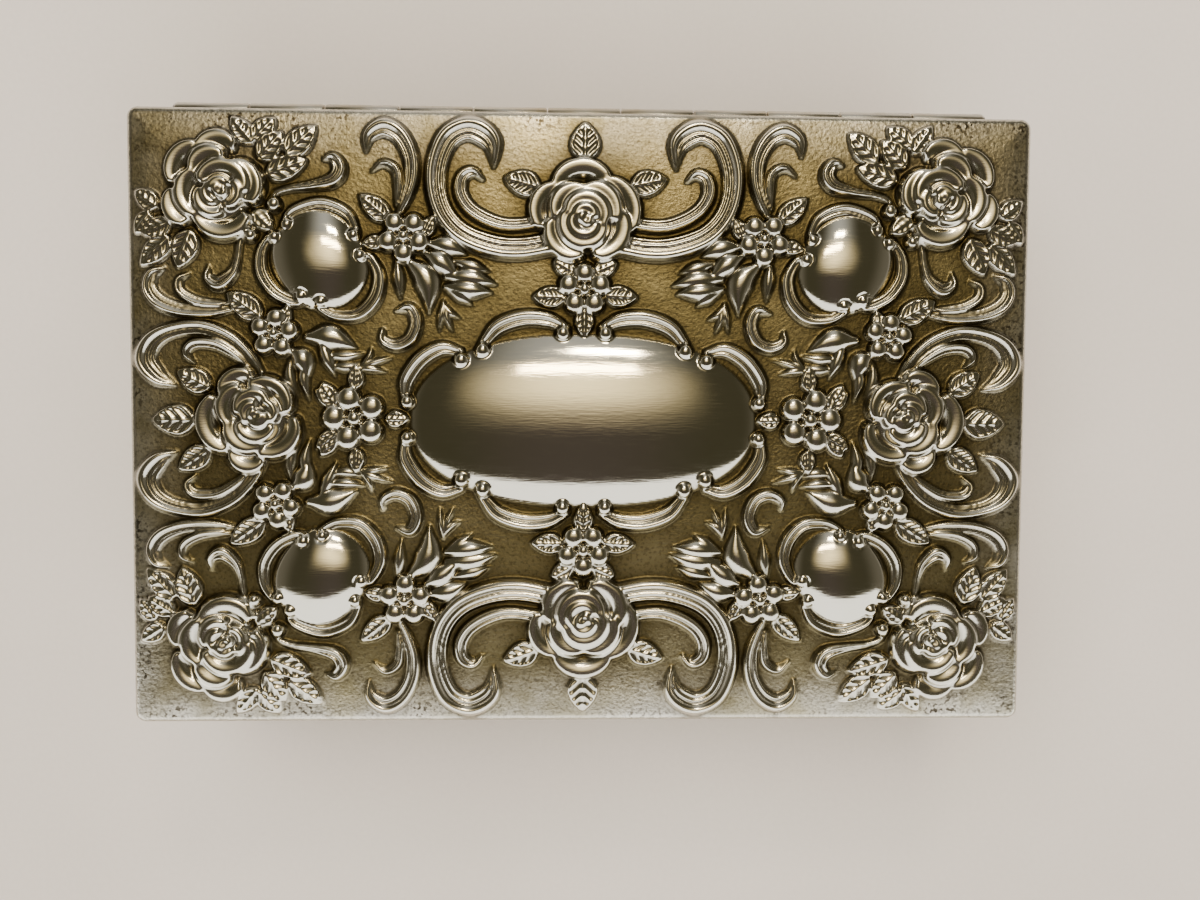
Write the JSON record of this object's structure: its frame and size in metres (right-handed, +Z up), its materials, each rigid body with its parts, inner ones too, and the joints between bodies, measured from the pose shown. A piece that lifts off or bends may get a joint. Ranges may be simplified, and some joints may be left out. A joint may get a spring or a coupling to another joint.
{
  "type": "trinket box",
  "caption": "Rectangular vanity trinket box with a hinged lid stamped with roses and scrolls, lined inside with velvet.",
  "frame": {"origin": "on the rest plane, under the middle of the box without its hinge", "axes": "+Z up, out of the lid's face; +X along the long side; +Y towards the hinge at the back"},
  "size_m": [0.2018, 0.1415, 0.0645],
  "materials": {
    "antique_silver": "antiqued silver plate, polished high points over a dark brown patina",
    "hinge_silver": "satin silver plate",
    "steel_pin": "drawn wire",
    "velvet": "short pile velvet",
    "felt": "pressed felt",
    "fibreboard": "bare fibreboard"
  },
  "bodies": {
    "body": {"body_shell": "antique_silver", "base_plate": "fibreboard", "felt_base_pad": "felt", "lining_back": "velvet", "lining_front": "velvet", "lining_right": "velvet", "lining_left": "velvet", "lining_floor": "velvet", "body_hinge_leaf": "hinge_silver", "hinge_pin": "steel_pin", "body_hinge_rivet_1": "hinge_silver", "body_hinge_rivet_2": "hinge_silver", "body_hinge_rivet_3": "hinge_silver", "body_hinge_rivet_4": "hinge_silver", "body_hinge_rivet_5": "hinge_silver"},
    "lid": {"lid_shell": "antique_silver", "lid_back_board": "fibreboard", "lid_velvet_pad": "velvet", "lid_hinge_leaf": "hinge_silver", "lid_hinge_rivet_1": "hinge_silver", "lid_hinge_rivet_2": "hinge_silver", "lid_hinge_rivet_3": "hinge_silver", "lid_hinge_rivet_4": "hinge_silver", "lid_hinge_rivet_5": "hinge_silver"}
  },
  "joints": [
    {"name": "lid_hinge", "type": "hinge", "parent": "body", "child": "lid", "pos_m": [0, 0.0706, 0.04415], "axis": [-1, 0, 0], "range_deg": [0, 100]}
  ]
}
